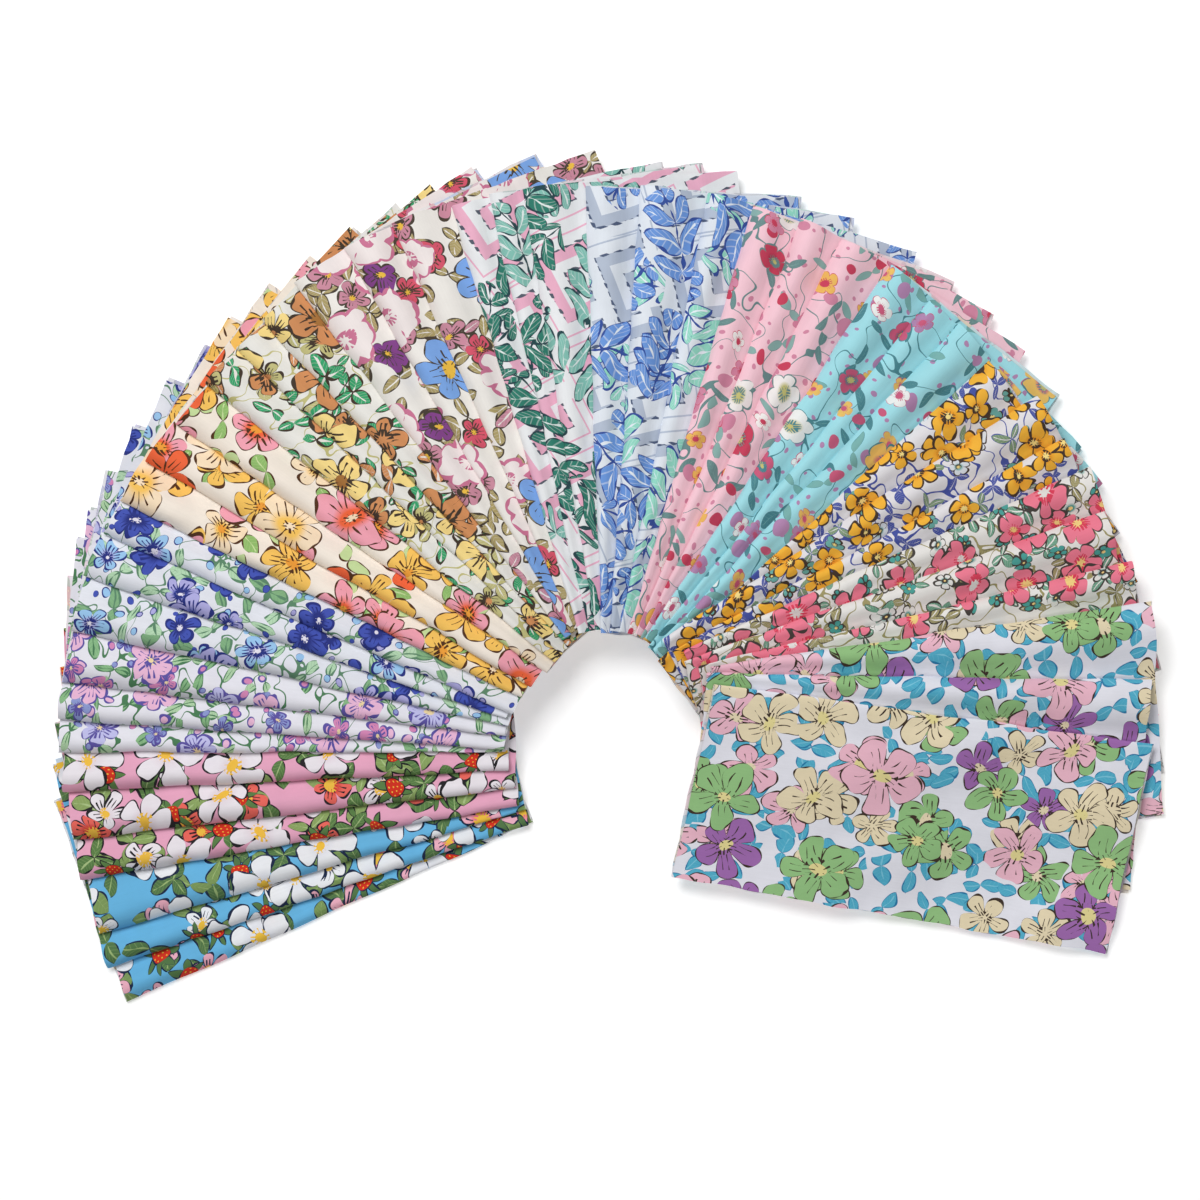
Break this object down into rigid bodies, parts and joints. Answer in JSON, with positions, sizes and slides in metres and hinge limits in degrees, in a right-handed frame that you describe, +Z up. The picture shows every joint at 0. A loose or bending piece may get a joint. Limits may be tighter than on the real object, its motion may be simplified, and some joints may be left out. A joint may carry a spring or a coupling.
{
  "type": "stack of fabric squares",
  "caption": "Fan of square cotton pieces, each folded once in half and overlapping the next like shingles round an open middle, in assorted floral prints.",
  "frame": {"origin": "middle of the bounding box seen from above, on the table under the fan", "axes": "+Z up from the table, +X towards the right of the fan, +Y from its open side to its top"},
  "size_m": [0.6364, 0.4878, 0.0474],
  "materials": {
    "blue_strawberry": "matt plain-weave cotton, printed: sky blue with white flowers, berries and green leaves",
    "pink_strawberry": "matt plain-weave cotton, printed: mauve pink with white and coral flowers and berries",
    "lilac_sprig": "matt plain-weave cotton, printed: pale lilac with pink line flowers and slate buds",
    "white_and_blue": "matt plain-weave cotton, printed: off-white with royal blue and lavender flowers",
    "gold_and_orange": "matt plain-weave cotton, printed: cream with golden, orange and pink flowers",
    "cream_and_green": "matt plain-weave cotton, printed: cream with emerald leaves and pale yellow flowers",
    "cream_and_blue": "matt plain-weave cotton, printed: cream with large light blue and dusty rose flowers",
    "teal_and_pink": "matt plain-weave cotton, printed: off-white with teal leaves and pink bands",
    "blue_and_mint": "matt plain-weave cotton, printed: off-white with blue and mint leaves and grey-blue bands",
    "pink_berry": "matt plain-weave cotton, printed: pink with round crimson, white and yellow flowers",
    "aqua_berry": "matt plain-weave cotton, printed: aqua with white and yellow flowers and teal leaves",
    "white_and_yellow": "matt plain-weave cotton, printed: off-white with yellow marigolds and navy leaves",
    "white_and_rose": "matt plain-weave cotton, printed: off-white with rose primulas and olive stems",
    "pastel_bloom": "matt plain-weave cotton, printed: pale lilac with large purple, green, pink and cream flowers"
  },
  "bodies": {
    "root": {"blue_strawberry_1": "blue_strawberry", "blue_strawberry_2": "blue_strawberry", "blue_strawberry_3": "blue_strawberry", "pink_strawberry_1": "pink_strawberry", "pink_strawberry_2": "pink_strawberry", "pink_strawberry_3": "pink_strawberry", "lilac_sprig_1": "lilac_sprig", "lilac_sprig_2": "lilac_sprig", "lilac_sprig_3": "lilac_sprig", "white_and_blue_1": "white_and_blue", "white_and_blue_2": "white_and_blue", "white_and_blue_3": "white_and_blue", "gold_and_orange_1": "gold_and_orange", "gold_and_orange_2": "gold_and_orange", "gold_and_orange_3": "gold_and_orange", "cream_and_green_1": "cream_and_green", "cream_and_green_2": "cream_and_green", "cream_and_green_3": "cream_and_green", "cream_and_blue_1": "cream_and_blue", "cream_and_blue_2": "cream_and_blue", "cream_and_blue_3": "cream_and_blue", "teal_and_pink_1": "teal_and_pink", "teal_and_pink_2": "teal_and_pink", "teal_and_pink_3": "teal_and_pink", "blue_and_mint_1": "blue_and_mint", "blue_and_mint_2": "blue_and_mint", "blue_and_mint_3": "blue_and_mint", "pink_berry_1": "pink_berry", "pink_berry_2": "pink_berry", "pink_berry_3": "pink_berry", "aqua_berry_1": "aqua_berry", "aqua_berry_2": "aqua_berry", "aqua_berry_3": "aqua_berry", "white_and_yellow_1": "white_and_yellow", "white_and_yellow_2": "white_and_yellow", "white_and_yellow_3": "white_and_yellow", "white_and_rose_1": "white_and_rose", "white_and_rose_2": "white_and_rose", "white_and_rose_3": "white_and_rose", "pastel_bloom_1": "pastel_bloom", "pastel_bloom_2": "pastel_bloom", "pastel_bloom_3": "pastel_bloom"}
  },
  "joints": []
}
